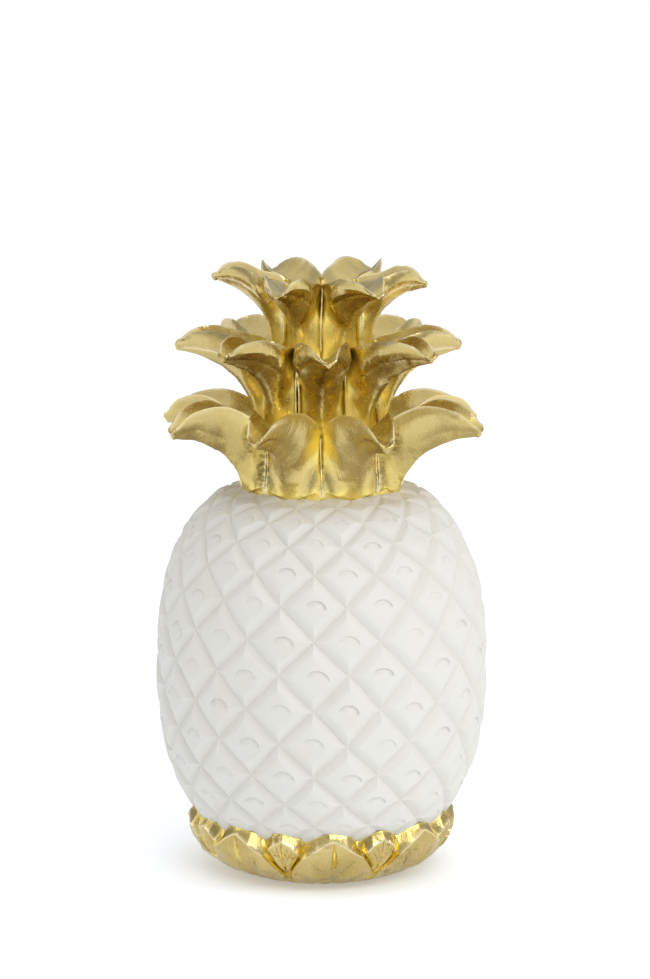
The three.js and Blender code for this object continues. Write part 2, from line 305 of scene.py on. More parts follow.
def eyes_tree(inputs):
    """Lays the eyes in rings and wraps them round the fruit's profile."""
    group = bpy.data.node_groups.new("carved_eyes", "GeometryNodeTree")
    group.interface.new_socket(name="Eye", in_out="INPUT", socket_type="NodeSocketGeometry")
    for name, kind in inputs.items():
        group.interface.new_socket(name=name, in_out="INPUT", socket_type="NodeSocket" + kind)
    group.interface.new_socket(name="Fruit", in_out="OUTPUT", socket_type="NodeSocketGeometry")
    tree = Tree(group)
    start = tree.node("NodeGroupInput")
    given = {name: start.output(name) for name in ("Eye", *inputs)}

    index = tree.node("GeometryNodeInputIndex")
    ring = (index / given["Eyes Per Ring"]).math("FLOOR")
    eye = index - ring * given["Eyes Per Ring"]
    row = ring + given["Lowest Row"]
    azimuth = given["Phase"] + (2 * eye + row.math("FLOORED_MODULO", 2.0)) * given["Pitch"]
    turned = (row + given["Row Shift"]) * given["Pitch"]
    count = given["Eyes Per Ring"] * given["Rows"]
    lattice = {"Count": count, "Position": tree.combine(azimuth, turned, 0.0)}
    points = tree.node("GeometryNodePoints", None, lattice)
    named = {"data_type": "FLOAT", "domain": "POINT"}
    number = {0: points, "Name": "eye_number", "Value": index}
    points = tree.node("GeometryNodeStoreNamedAttribute", named, number)
    laid = tree.node("GeometryNodeInstanceOnPoints", None, {"Points": points, "Instance": given["Eye"]})
    laid = tree.node("GeometryNodeRealizeInstances", None, {0: laid})

    def attribute(name, kind="FLOAT"):
        return tree.node("GeometryNodeInputNamedAttribute", {"data_type": kind}, {"Name": name})

    profile = tree.node("GeometryNodeObjectInfo", None, {"Object": given["Profile"]}).output("Geometry")
    profile_place = tree.node("GeometryNodeInputPosition")
    profile_out = attribute("outward", "FLOAT_VECTOR")
    sampling = {"data_type": "FLOAT_VECTOR", "domain": "POINT", "clamp": True}
    between = {"data_type": "VECTOR"}

    def skin(azimuth, turned, relief):
        step = (turned - PROFILE_START) / PROFILE_STEP
        lower = step.math("FLOOR")
        on_profile = []
        for sampled in (profile_place, profile_out):
            ends = []
            for at in (lower, lower + 1.0):
                wanted = {0: profile, "Value": sampled, "Index": at}
                ends.append(tree.node("GeometryNodeSampleIndex", sampling, wanted))
            ends = {0: step - lower, 4: ends[0], 5: ends[1]}
            on_profile.append(tree.node("ShaderNodeMix", between, ends, 1))
        radius, _, height = tree.split(on_profile[0])
        out, _, up = tree.split(on_profile[1])
        radius = radius + out * relief
        angle = azimuth * (math.pi / 180)
        across = radius * angle.math("SINE")
        back = radius * angle.math("COSINE") * -1.0
        return tree.combine(across, back, height + up * relief), radius

    azimuth, turned, relief = tree.split(tree.node("GeometryNodeInputPosition"))
    white = {"Vector": tree.combine(attribute("eye_number"), given["Seed"], 0.0)}
    own = tree.split(tree.node("ShaderNodeTexWhiteNoise", {"noise_dimensions": "2D"}, white, "Color"))
    sway = attribute("inner") * given["Sway"]
    azimuth = azimuth + sway * (own[0] - 0.5)
    turned = turned + sway * (own[1] - 0.5)
    unworn, radius = skin(azimuth, turned, 0.0)
    size = 0.25 + 0.75 * (radius / (FRUIT_RADIUS * MM))
    up = tree.split(unworn)[2]
    size = size * (1.0 - 0.35 * tree.smoothstep(up, (JUNCTION - NECK_FADE) * MM, JUNCTION * MM))
    size = size * (0.35 + 0.65 * tree.smoothstep(up, FOOT_FADE[0] * MM, FOOT_FADE[1] * MM))
    relief = (relief + attribute("nail") * (0.65 + 0.7 * own[2])) * size
    coarse = {"Vector": unworn, "W": given["Seed"], "Scale": 42.0, "Detail": 1.0}
    hand = tree.split(tree.node("ShaderNodeTexNoise", {"noise_dimensions": "4D"}, coarse, "Color"))
    azimuth = azimuth + given["Wander"] * (hand[0] - 0.5)
    turned = turned + given["Wander"] * (hand[1] - 0.5)
    fine = {"Vector": unworn, "W": given["Seed"], "Scale": 170.0, "Detail": 2.0}
    knife = tree.node("ShaderNodeTexNoise", {"noise_dimensions": "4D"}, fine)
    relief = relief + given["Hand"] * ((hand[2] - 0.75) * 1.6 + (knife - 0.6) * 0.5)
    place, _ = skin(azimuth, turned, relief)
    body = tree.node("GeometryNodeSetPosition", None, {"Geometry": laid, "Position": place})
    body = tree.node("GeometryNodeMergeByDistance", None, {"Geometry": body, "Distance": MERGE_GAP * MM})

    rim = tree.node("GeometryNodeInputMeshEdgeNeighbors")
    equal = {"data_type": "INT", "operation": "EQUAL"}
    open_edge = tree.node("FunctionNodeCompare", equal, {2: rim, 3: 1})
    spread = {"Mesh": body, "Selection": open_edge, "Offset Scale": 0.0}
    closed = tree.node("GeometryNodeExtrudeMesh", {"mode": "EDGES"}, spread)
    height = tree.split(tree.node("GeometryNodeInputPosition"))[2]
    above = height.math("GREATER_THAN", WAIST * MM)
    pole = tree.combine(0.0, 0.0, LOW_POLE * MM + above * (HIGH_POLE - LOW_POLE) * MM)
    gathered = {"Geometry": closed, "Selection": closed.output("Top"), "Position": pole}
    closed = tree.node("GeometryNodeSetPosition", None, gathered)
    poles = {"Geometry": closed, "Distance": MERGE_GAP * MM}
    closed = tree.node("GeometryNodeMergeByDistance", None, poles)
    closed = tree.node("GeometryNodeSetShadeSmooth", None, {"Geometry": closed})
    closed = tree.node("GeometryNodeRealizeInstances", None, {0: closed})
    closed = tree.node("GeometryNodeSetMaterial", None, {"Geometry": closed, "Material": given["Paint"]})
    tree.node("NodeGroupOutput", None, {0: closed})
    return group


def make_fruit(paint):
    """The fruit as one closed skin of carved eyes."""
    profile = make_profile()
    fruit = make_eye()
    fruit.name = "fruit_white"
    sizes = {
        "Profile": ("Object", profile),
        "Eyes Per Ring": ("Int", EYES_PER_RING),
        "Rows": ("Int", EYE_ROWS),
        "Lowest Row": ("Int", LOWEST_ROW),
        "Pitch": ("Float", EYE_PITCH),
        "Phase": ("Float", EYE_PHASE),
        "Row Shift": ("Float", EYE_ROW_SHIFT),
        "Sway": ("Float", 2.0),
        "Wander": ("Float", 3.0),
        "Hand": ("Float", 0.7 * MM),
        "Seed": ("Float", 4.0),
        "Paint": ("Material", paint),
    }
    group = eyes_tree({name: kind for name, (kind, _) in sizes.items()})
    modifier = fruit.modifiers.new("eyes", "NODES")
    modifier.node_group = group
    for item in group.interface.items_tree:
        if item.in_out == "INPUT" and item.name in sizes:
            value = sizes[item.name][1]
            modifier[item.identifier] = float(value) if sizes[item.name][0] == "Float" else value
    plain_mesh(fruit)
    remove(profile)
    return fruit


# Crown. Heights are above the line where the crown meets the fruit. Each tier gives the points
# that its leaves run through, root to tip: the keel below, the margins with their half width,
# and the crease on top. Its fold, from root to tip, is the line between the underside and the
# side walls: its share of the half width, and how far it has risen from keel to margin.
SEAM_OVERLAP = 1.5
SEAM_SINK = 0.7
SEAM_TOP_SINK = 3.3
INNER_ROOT = 0.33
TIP_LENGTH = 2.1
RIM = 1.3
ROUNDNESS = 1.3
WALL_SWELL = 0.8
CREASE_SAG = 0.9
FOLD_STOPS = (0, 0.12, 0.22, 0.4, 0.6, 0.8, 1)
ROOT_SHARE = 0.3
ROOT_SECTIONS = 15
BLADE_SECTIONS = 34
TIP_TURNS = (20, 42, 62, 78)
TIERS = [
    dict(
        leaves=8, phase=22.5, root=(CROWN_ROOT_RADIUS, -4), seam_top=23.7,
        keel=[(1.4, 1.4), (5, 8), (11.5, 15.4), (22.5, 21), (32.4, 22.9)],
        margin=[(3.5, 12.6, 31.7), (14, 9.8, 36.2), (27, 6, 33.7), (33, 3.7, 28.2)],
        crease=[(-9, 17), (0, 24), (13, 28), (25, 28.2), (32, 26.2)],
        fold=[0.97, 0.76, 0.52, 0.3, 0.4, 0.5, 0.5],
        rise=[0.93, 0.14, 0.16, 0.16, 0.3, 0.35, 0.3],
        crisp=[1, 1, 0.9, 0.4, 0, 0, 0],
        roll=0.09,
        swing=[0, 1, 0, 1, -1, 0, 1, -1],
        lift=[0, 0.5, -2, -1, -1, -2, 0, 1.5],
        reach=[0.5, 1.5, 1, 0, 0, 2, -1.5, -1],
    ),
    dict(
        leaves=8, phase=0, root=(26.5, 13), seam_top=57,
        keel=[(1.5, 31), (5, 39.5), (11.5, 47.2), (21, 52.5), (29.3, 55.4)],
        margin=[(5.5, 10.8, 61.2), (16.5, 9, 64.4), (25.5, 5.6, 63), (29.6, 3.5, 59.8)],
        crease=[(-8.5, 48), (2.5, 54), (14.5, 57), (24, 58), (28.8, 57.6)],
        fold=[0.97, 0.92, 0.86, 0.78, 0.7, 0.6, 0.45],
        rise=[0.93, 0.72, 0.52, 0.4, 0.37, 0.34, 0.3],
        crisp=[1, 1, 1, 0.9, 0.8, 0.7, 0.6],
        roll=0.2,
        swing=[3, 4, 0, 0, 0, 0, 0, -1],
        lift=[0, 0, 0, 0.5, 0, 0.5, 0, 0],
        reach=[-3, 1, -1, 0, 0, 0, 1.5, -2.5],
    ),
    dict(
        leaves=6, phase=30, root=(19.5, 45), seam_top=82.5,
        keel=[(1.5, 64.2), (4.5, 70), (9, 74.7), (16, 79.2), (22.8, 81.4)],
        margin=[(6, 10.6, 86.5), (13.5, 9.2, 89.2), (20, 5.8, 87.8), (23.2, 3.5, 84.6)],
        crease=[(-9.5, 73), (2.5, 79.5), (11.5, 82.4), (18.5, 83.4), (22.4, 83)],
        fold=[0.97, 0.92, 0.86, 0.78, 0.7, 0.6, 0.45],
        rise=[0.93, 0.72, 0.52, 0.4, 0.37, 0.34, 0.3],
        crisp=[1, 1, 1, 0.9, 0.8, 0.7, 0.6],
        roll=0.2,
        swing=[1, 0, 0, 0, 0, 4],
        lift=[-0.5, -0.5, 0.5, 0, 2.5, -0.5],
        reach=[0, -1.5, 0, 0, 0, -3],
    ),
]


def polar(azimuth, out, height, side=0.0):
    a = np.radians(azimuth)
    return np.stack(
        np.broadcast_arrays(
            out * np.sin(a) + side * np.cos(a), side * np.sin(a) - out * np.cos(a), height
        ),
        axis=-1,
    )


def curve_through(points, share):
    """Points on a smooth curve through the given ones, whose parts take equal shares."""
    points = np.asarray(points, dtype=float)
    first = 2 * points[0] - points[1]
    last = 2 * points[-1] - points[-2]
    padded = np.vstack([first, points, last])
    place = np.clip(share, 0, 1) * (len(points) - 1)
    part = np.minimum(place.astype(int), len(points) - 2)
    t = (place - part)[:, None]
    p0, p1, p2, p3 = (padded[part + k] for k in range(4))
    d0, d1, d2 = (
        np.maximum(np.linalg.norm(b - a, axis=1), 1e-4)[:, None] ** 0.5
        for a, b in ((p0, p1), (p1, p2), (p2, p3))
    )
    t1 = ((p1 - p0) / d0 - (p2 - p0) / (d0 + d1) + (p2 - p1) / d1) * d1
    t2 = ((p2 - p1) / d1 - (p3 - p1) / (d1 + d2) + (p3 - p2) / d2) * d1
    return p1 + t * (t1 + t * (3 * (p2 - p1) - 2 * t1 - t2 + t * (2 * (p1 - p2) + t1 + t2)))


def leaf_curves(tier, index, share):
    radius, height = tier["root"]
    half = math.radians(180 / tier["leaves"] + SEAM_OVERLAP)

    def seam(sink, up):
        return ((radius - sink) * math.cos(half), (radius - sink) * math.sin(half), JUNCTION + up)

    def point(out, side, up, weight):
        out_shift = tier["reach"][index] * weight
        return (radius + out + out_shift, side, JUNCTION + up + tier["lift"][index] * weight)

    keel = [(radius, 0, JUNCTION + height)]
    keel += [point(out, 0, up, i / 4) for i, (out, up) in enumerate(tier["keel"])]
    crease = [(radius * INNER_ROOT, 0, JUNCTION + height)]
    crease += [point(out, 0, up, i / 4) for i, (out, up) in enumerate(tier["crease"])]
    margin = [seam(SEAM_SINK, height), seam(SEAM_TOP_SINK, tier["seam_top"])]
    margin += [point(out, side, up, (i + 1) / 4) for i, (out, side, up) in enumerate(tier["margin"])]
    return [curve_through(points, share) for points in (keel, margin, crease)]


INNER = np.array([0, 0.16, 0.36, 0.56, 0.76, 0.92])
OUTER = np.array([0, 0.06, 0.25, 0.5, 0.75, 0.93])
ABOVE = np.array([0.82, 0.62, 0.42, 0.22, 0.07])
FOLD_POINT = len(INNER)
EDGE_POINT = len(INNER) + len(OUTER)


def leaf_section(low, edge, mid, fold, rise, crisp, roll):
    """Half of a closed section, from the keel over the fold and the rim to the crease. The walls
    roll over towards the rim."""
    run = edge - low
    span = math.hypot(run[0], run[2]) + 1e-9
    out = np.array([-run[2], 0, run[0]]) / span
    out *= math.copysign(1, out[0])

    def under(a, up, swell):
        p = low + run * up + out * swell * min(1, span / 6)
        return np.array([p[0], edge[1] * a, p[2]])

    places = [(fold * t, rise * t**1.7, 0.0, 0.0) for t in INNER]
    for t in OUTER:
        bulge = roll * math.sin(math.pi * t**0.8)
        swell = WALL_SWELL * math.sin(math.pi * t)
        places.append((fold + (1 - fold) * t, rise + (1 - rise) * t, swell, bulge))
    half = [
        under(a + bulge, a**ROUNDNESS * (1 - crisp) + up * crisp, swell)
        for a, up, swell, bulge in places
    ]
    inner = mid + (edge - mid) * 0.82
    inward = (inner - edge) / (np.linalg.norm(inner - edge) + 1e-9)
    rim = min(RIM, 0.35 * edge[1])
    crest = edge + inward * rim * 0.45
    crest[2] += 0.28
    lip = edge + inward * rim
    half += [edge, crest, lip]
    for a in ABOVE:
        p = mid + (edge - mid) * a * (1 - rim / max(edge[1], rim) * 0.9)
        sag = CREASE_SAG * math.sin(math.pi * a) * min(1, edge[1] / 8)
        half.append(np.array([p[0], p[1], p[2] - sag]))
    return half


def leaf_rings(tier, index):
    """Sections of a leaf from root to tip."""
    root = np.linspace(0, ROOT_SHARE, ROOT_SECTIONS)[:-1]
    share = np.concatenate([root, np.linspace(ROOT_SHARE, 1, BLADE_SECTIONS)])
    curves = leaf_curves(tier, index, share)
    azimuth = tier["phase"] + index * 360 / tier["leaves"]
    own = 0.04 * math.sin(index * 2.3 + tier["leaves"])
    fold = np.clip(np.interp(share, FOLD_STOPS, tier["fold"]) + own * smooth(share, 0, 0.2), 0.1, 0.97)
    rise = np.interp(share, FOLD_STOPS, tier["rise"])
    crisp = np.interp(share, FOLD_STOPS, tier["crisp"])
    roll = tier["roll"] * smooth(share, 0.24, 0.45)
    rings = []
    for low, edge, mid, *shape in zip(*curves, fold, rise, crisp, roll):
        half = np.array(leaf_section(low, edge, mid, *shape))
        crest = np.array([[mid[0], 0, mid[2]]])
        rings.append(np.vstack([half, crest, half[:0:-1] * (1, -1, 1)]))
    rings = np.array(rings)
    last = rings[-1]
    middle = last.mean(axis=0)
    ahead = rings[-1].mean(axis=0) - rings[-3].mean(axis=0)
    ahead /= np.linalg.norm(ahead)
    caps = [
        middle + (last - middle) * math.cos(t) ** 0.6 + ahead * TIP_LENGTH * math.sin(t)
        for t in np.radians(TIP_TURNS)
    ]
    rings = np.concatenate([rings, caps])
    share = np.concatenate([share, np.ones(len(caps))])
    swing = azimuth + tier["swing"][index] * share**2
    return np.array(
        [polar(a, ring[:, 0], ring[:, 2], ring[:, 1]) for a, ring in zip(swing, rings)]
    )


def loft(name, rings):
    """Closed skin through rings of points, with a point in the middle of each end."""
    rings = np.asarray(rings)
    stations, count = rings.shape[:2]
    points = np.vstack([rings.reshape(-1, 3), rings[0].mean(axis=0), rings[-1].mean(axis=0)])
    faces = []
    for k in range(stations - 1):
        for i in range(count):
            j = (i + 1) % count
            faces.append((k * count + i, k * count + j, (k + 1) * count + j, (k + 1) * count + i))
    start, end = stations * count, stations * count + 1
    top = (stations - 1) * count
    for i in range(count):
        j = (i + 1) % count
        faces.append((start, j, i))
        faces.append((end, top + i, top + j))
    made = new_object(name, points * MM, faces)
    face_outward(made.data)
    return made


def face_outward(mesh):
    work = bmesh.new()
    work.from_mesh(mesh)
    bmesh.ops.remove_doubles(work, verts=work.verts, dist=1e-6)
    bmesh.ops.recalc_face_normals(work, faces=work.faces)
    if work.calc_volume(signed=True) < 0:
        bmesh.ops.reverse_faces(work, faces=work.faces)
    work.to_mesh(mesh)
    work.free()


# Ribs and knobs in the seams, with the height of the ribs' feet in each tier
RIB_FEET = (-1, 24, 57)
RIB_HALF_WIDTH = 0.5
RIB_HALF_DEPTH = 1.8
RIB_SINK = 2.1
RIB_ASIDE = 0.68
RIB_SIDES = 10
RIB_SECTIONS = 20
KNOB_RADIUS = 1.1
KNOB_SIDES = 12
# Sections of a leaf, from root to tip, whose rims and folds get a painted highlight
HIGHLIT_RIM = slice(4, 50)
HIGHLIT_FOLD = slice(14, 46)
# Tier and leaf whose wall a rough tool has beaten and where shade is painted, and the point of its
# sections where
SECTION_POINTS = 2 * (EDGE_POINT + 3 + len(ABOVE))
ROUGH_SHADED_WALLS = {(0, 6): EDGE_POINT - 3, (0, 1): SECTION_POINTS - EDGE_POINT + 2}
ROUGH_ROOT = slice(3, 18)
ROUGH_RIM = slice(18, 38)
CORE_INSET = 6
CORE_EMBED = 8
CORE_SLOPE = 1
CORE_BELOW_SEAM = 16
CORE_SIDES = 48


def make_core():
    """Stepped stem that the leaves' roots close round, with a shallow dish on top."""
    radii = [tier["root"][0] - CORE_INSET for tier in TIERS]
    steps = [JUNCTION + tier["root"][1] for tier in TIERS[1:]]
    top = JUNCTION + TIERS[2]["seam_top"] - CORE_BELOW_SEAM
    profile = [(radii[0], JUNCTION - CORE_EMBED), (radii[0], steps[0])]
    profile += [(radii[1], steps[0] + CORE_SLOPE), (radii[1], steps[1])]
    profile += [(radii[2], steps[1] + CORE_SLOPE), (radii[2], top)]
    profile += [(radii[2] * 0.7, top - 1.2), (radii[2] * 0.35, top - 2.6)]
    around = np.arange(CORE_SIDES) * 360 / CORE_SIDES
    return loft("core", [polar(around, r, z) for r, z in profile])


def seam_azimuth(tier, index):
    return tier["phase"] + (index + 0.5) * 360 / tier["leaves"]


def make_rib(tier, index, aside):
    """Thin upright blade that stands in the seam between two leaves."""
    radius, root = tier["root"]
    foot = max(root + 3, RIB_FEET[TIERS.index(tier)])
    turns = np.radians(np.arange(RIB_SIDES) * 360 / RIB_SIDES)
    rings = []
    for k, t in enumerate(np.linspace(0, 1, RIB_SECTIONS)):
        up = foot + (tier["seam_top"] + 0.8 - foot) * t
        width = RIB_HALF_WIDTH + 0.08 * math.sin(k * 1.7 + index)
        if k in (0, RIB_SECTIONS - 1):
            width *= 0.4
        lean = aside * math.sin(math.pi * min(t * 1.3, 1)) ** 0.5 + 0.3 * math.sin(t * 4 + index * 2)
        middle = radius - RIB_SINK - (SEAM_TOP_SINK - 2) * t
        out = middle + RIB_HALF_DEPTH * np.sin(turns)
        rings.append(polar(seam_azimuth(tier, index), out, JUNCTION + up, lean + width * np.cos(turns)))
    return np.array(rings)


def make_knob(tier, index):
    """Small bead where a seam's rib ends."""
    turns = np.radians(np.arange(KNOB_SIDES) * 360 / KNOB_SIDES)
    out = tier["root"][0] - SEAM_TOP_SINK + 0.2
    height = JUNCTION + tier["seam_top"] + 0.3
    rings = []
    for t in np.radians([20, 50, 80, 110, 140, 165]):
        wide = KNOB_RADIUS * math.sin(t)
        up = height - KNOB_RADIUS * math.cos(t)
        deep, aside = out + wide * np.sin(turns), wide * np.cos(turns)
        rings.append(polar(seam_azimuth(tier, index), deep, up, aside))
    return loft("knob", rings)


def unite(name, solids):
    """One closed skin round all the given solids."""
    whole = solids[0]
    whole.name = name
    for other in solids[1:]:
        modifier = whole.modifiers.new("unite", "BOOLEAN")
        modifier.operation = "UNION"
        modifier.solver = "MANIFOLD"
        modifier.object = other
    plain_mesh(whole)
    for other in solids[1:]:
        remove(other)
    drop_inner_shells(whole.data)
    return whole


def drop_inner_shells(mesh):
    """Keeps the outer skin alone, without the closed gaps that the union leaves inside."""
    work = bmesh.new()
    work.from_mesh(mesh)
    unseen = set(work.verts)
    shells = []
    while unseen:
        front = [unseen.pop()]
        shell = set(front)
        while front:
            vertex = front.pop()
            others = {edge.other_vert(vertex) for edge in vertex.link_edges} & unseen
            unseen -= others
            shell |= others
            front += others
        shells.append(shell)
    skin = max(shells, key=len)
    inner = [vertex for vertex in work.verts if vertex not in skin]
    bmesh.ops.delete(work, geom=inner, context="VERTS")
    work.to_mesh(mesh)
    work.free()


# Marks of hand on the gold leaves, and how far their painted highlights, tool marks and painted shade
# reach, in metres
CARVING_SCALE = 130
CARVING_SEED = 3
CROWN_WAVE = 0.00022
COLLAR_WAVE = 0.00016
KNIFE_CUT = 0.0006
CROWN_HIGHLIGHT_REACH = 0.0011
COLLAR_HIGHLIGHT_REACH = 0.0009
TOOL_MARK_AND_SHADE_REACH = 0.006
CROWN_HOLLOW_REACH = 0.025
COLLAR_HOLLOW_REACH = 0.006
HOLLOW_RAYS = 14


def carve_by_hand(mesh, depth):
    """Moves the skin a little along its normals, as a knife leaves it: a slow wave, and flat
    cuts that each lean their own way. Without the seed the cuts would follow the clock."""
    noise.seed_set(CARVING_SEED)
    count = len(mesh.vertices)
    places = np.empty(count * 3, dtype=np.float32)
    mesh.vertices.foreach_get("co", places)
    places = places.reshape(-1, 3)
    normals = np.empty(count * 3, dtype=np.float32)
    mesh.vertex_normals.foreach_get("vector", normals)
    normals = normals.reshape(-1, 3)
    shift = Vector((1, 2, 3)) * CARVING_SEED
    amount = [noise.noise(Vector(p) * CARVING_SCALE + shift) for p in places.tolist()]
    finer = [noise.noise(Vector(p) * CARVING_SCALE * 2.6 - shift) for p in places.tolist()]
    moved = (np.array(amount) + 0.45 * np.array(finer)) * depth
    for i, p in enumerate(places.tolist()):
        p = Vector(p) * CARVING_SCALE * 1.15
        centre = noise.voronoi(p)[1][0]
        moved[i] += noise.noise_vector(centre * 7.3 + shift).dot(p - centre) * KNIFE_CUT
    places += normals * moved[:, None].astype(np.float32)
    places[:, 2] = np.maximum(places[:, 2], 0)
    mesh.vertices.foreach_set("co", places.ravel())
    mesh.update()


def store_hollows(piece, others, reach):
    """Stores how shut in each place of the skin is, from 0 in the open to 1 in a deep gap."""
    trees = []
    for made in (piece, *others):
        work = bmesh.new()
        work.from_mesh(made.data)
        trees.append(BVHTree.FromBMesh(work))
        work.free()
    mesh = piece.data
    golden = math.pi * (3 - math.sqrt(5))
    rays = []
    for k in range(HOLLOW_RAYS):
        up = 1 - (k + 0.5) / HOLLOW_RAYS * 0.92
        flat = math.sqrt(1 - up * up)
        rays.append(Vector((flat * math.cos(k * golden), flat * math.sin(k * golden), up)))
    shut = np.zeros(len(mesh.vertices))
    for i, vertex in enumerate(mesh.vertices):
        normal = vertex.normal
        turn = Vector((0, 0, 1)).rotation_difference(normal)
        start = vertex.co + normal * 0.0003
        hits = 0
        for ray in rays:
            ray = turn @ ray
            for tree in trees:
                hit = tree.ray_cast(start, ray, reach)
                if hit[0] is not None:
                    hits += 1 - hit[3] / reach
                    break
        shut[i] = hits / len(rays)
    store(mesh, "recess", np.clip(shut * 1.6, 0, 1))


def store_near(piece, name, places, reach):
    """Stores 1 on the skin at the given places, falling to 0 at the reach from them."""
    lines = KDTree(len(places))
    for i, p in enumerate(places):
        lines.insert(p, i)
    lines.balance()
    gaps = [lines.find(vertex.co)[2] for vertex in piece.data.vertices]
    store(piece.data, name, np.clip(1 - np.array(gaps) / reach, 0, 1))


def make_crown():
    """The crown as one skin, with the places of its sharp edges and of its rough cuts, where shade is
    also painted.
    """
    solids, sharp, rough = [make_core()], [], []
    for number, tier in enumerate(TIERS):
        for index in range(tier["leaves"]):
            rings = leaf_rings(tier, index)
            solids.append(loft("leaf", rings))
            count = rings.shape[1]
            for k in (EDGE_POINT + 1, count - EDGE_POINT - 1):
                sharp += list(rings[HIGHLIT_RIM, k])
            if number > 0:
                for k in (FOLD_POINT, count - FOLD_POINT):
                    sharp += list(rings[HIGHLIT_FOLD, k])
            if (number, index) in ROUGH_SHADED_WALLS:
                k = ROUGH_SHADED_WALLS[number, index]
                rough += list(rings[ROUGH_ROOT, k]) + list(rings[ROUGH_ROOT, k + 1])
                if index == 1:
                    rough += list(rings[ROUGH_RIM, k - 1])
            twin = (index + number) % 3 != 1
            for aside in (RIB_ASIDE, -RIB_ASIDE) if twin else (0,):
                rib = make_rib(tier, index, aside)
                sharp += list(rib[1:-1, 2]) + list(rib[1:-1, 3])
                solids.append(loft("rib", rib))
            solids.append(make_knob(tier, index))
    whole = unite("crown_gold", solids)
    return whole, np.array(sharp) * MM, np.array(rough) * MM


# Collar of broad leaves round the foot, with a small fan leaf between each two
FOOT_FLAT_RADIUS = 30
COLLAR_HEIGHT = 21.5
COLLAR_PROUD = 4.2
COLLAR_SWELL = 0.7
COLLAR_LEAVES = 8
COLLAR_PHASE = 5
COLLAR_LOW_EDGE = 20.3
COLLAR_HIGH_EDGE = 11.5
CHANNEL_WIDTH = 1.5
COLLAR_ROWS = 52
# Shares of the way from a leaf's ridge to its top line
CHAMFER_STEPS = (0.05, 0.3, 0.6, 0.85, 1.0)
# The chamfer ends inside the fruit, and the inner edge deeper still
COLLAR_BITE = 0.8
INNER_BITE = 4
SECTOR = 360 / COLLAR_LEAVES
# Each column gives its place across, its relief, the height of its ridge and its top line
COLUMNS = [
    ("broad", 0, 1.2, 24.0, 26.5),
    ("broad", 0.13, 1.3, 23.7, 26.5),
    ("broad", 0.6, 1.6, 20.6, 25.2),
    ("broad", 1, 1.3, 16.7, 22.6),
    ("channel", 1, -2.0, 16.7, 22.6),
    ("small", 0.5, -0.5, 21.1, 25.4),
    ("small", 1, 0, 23.4, 26.7),
]
BETWEEN = [
    [0, 0.25, 0.5, 0.75],
    [0, 0.15, 0.3, 0.45, 0.6, 0.75, 0.88],
    [0, 0.15, 0.3, 0.45, 0.6, 0.75, 0.88, 0.96],
    [0, 0.3, 0.6, 0.85],
    [0, 0.1, 0.22, 0.34, 0.46, 0.58, 0.7, 0.82, 0.92],
    [0, 0.12, 0.24, 0.36, 0.48, 0.6, 0.72, 0.84, 0.93],
]


def across_at(kind, share, height):
    level = smooth(height, COLLAR_HEIGHT * 0.25, COLLAR_HEIGHT)
    edge = COLLAR_LOW_EDGE + (COLLAR_HIGH_EDGE - COLLAR_LOW_EDGE) * level
    channel = np.minimum(edge + CHANNEL_WIDTH, SECTOR / 2 - 0.4)
    if kind == "broad":
        return edge * share
    if kind == "channel":
        return channel
    return channel + (SECTOR / 2 - channel) * share


def bowl_radius(height):
    full = fruit_radius(COLLAR_HEIGHT) + COLLAR_PROUD
    share = np.clip(height / COLLAR_HEIGHT, 0, 1)
    return FOOT_FLAT_RADIUS + (full - FOOT_FLAT_RADIUS) * (1 - (1 - share) ** 2) ** COLLAR_SWELL


def stroke(across, up, start, end, width):
    """Depth, 0 to 1, of a cut that tapers from its start to its end."""
    start, end = np.array(start), np.array(end)
    run = end - start
    along = np.clip(((across - start[0]) * run[0] + (up - start[1]) * run[1]) / run.dot(run), 0, 1)
    gap = np.hypot(across - start[0] - run[0] * along, up - start[1] - run[1] * along)
    reach = width * (1 - 0.75 * along)
    return max(0.0, 1 - gap / reach) * (1 - along**3)


def collar_relief(leaf, side, kind, share, relief, up):
    """Carving of one place of the collar, in millimetres outwards."""
    uneven = math.sin(leaf * 2.7 + side * 1.3)
    relief *= min(1, up / 0.3)
    if kind == "broad":
        across = share * side
        lean = 0.10 * uneven
        relief -= 2.1 * stroke(across, up, (lean, 0.12), (lean * 0.3, 1.0), 0.16)
        slant = 0.5 + 0.12 * uneven
        relief -= 1.5 * stroke(share, up, (0.24, 0.36), (0.24 + slant * 0.7, 0.78), 0.12)
        relief -= 1.3 * stroke(share, up, (0.6, 0.24), (0.95, 0.46 + 0.05 * uneven), 0.12)
        relief += 0.6 * stroke(share, up, (0.14, 0.5), (0.34, 0.95), 0.14)
        relief += 0.5 * stroke(share, up, (0.5, 0.3), (0.8, 0.7), 0.12)
        relief -= 0.5 * stroke(share, up, (0.05, 0.22), (1.0, 0.13), 0.06)
    if kind == "small":
        fan = 1 - share
        plate = smooth(share, 0.02, 0.16 + 0.05 * uneven)
        relief += 1.3 * plate * smooth(up, 0.4, 0.62)
        pocket = smooth(up, 0.14, 0.2) * (1 - smooth(up, 0.34, 0.44))
        relief -= 2.2 * pocket * smooth(share, 0.0, 0.5)
        for spread in (0.0, 0.34, 0.68):
            relief -= 0.9 * stroke(fan, up, (0.0, 0.40), (spread, 1.04), 0.12)
    return relief


def collar_columns():
    """Columns from the vein of a broad leaf to the middle of the small leaf beside it."""
    columns = []
    for first, second, steps in zip(COLUMNS, COLUMNS[1:], BETWEEN):
        columns += [(first, second, step) for step in steps]
    columns.append((COLUMNS[-1], COLUMNS[-1], 0.0))
    return columns


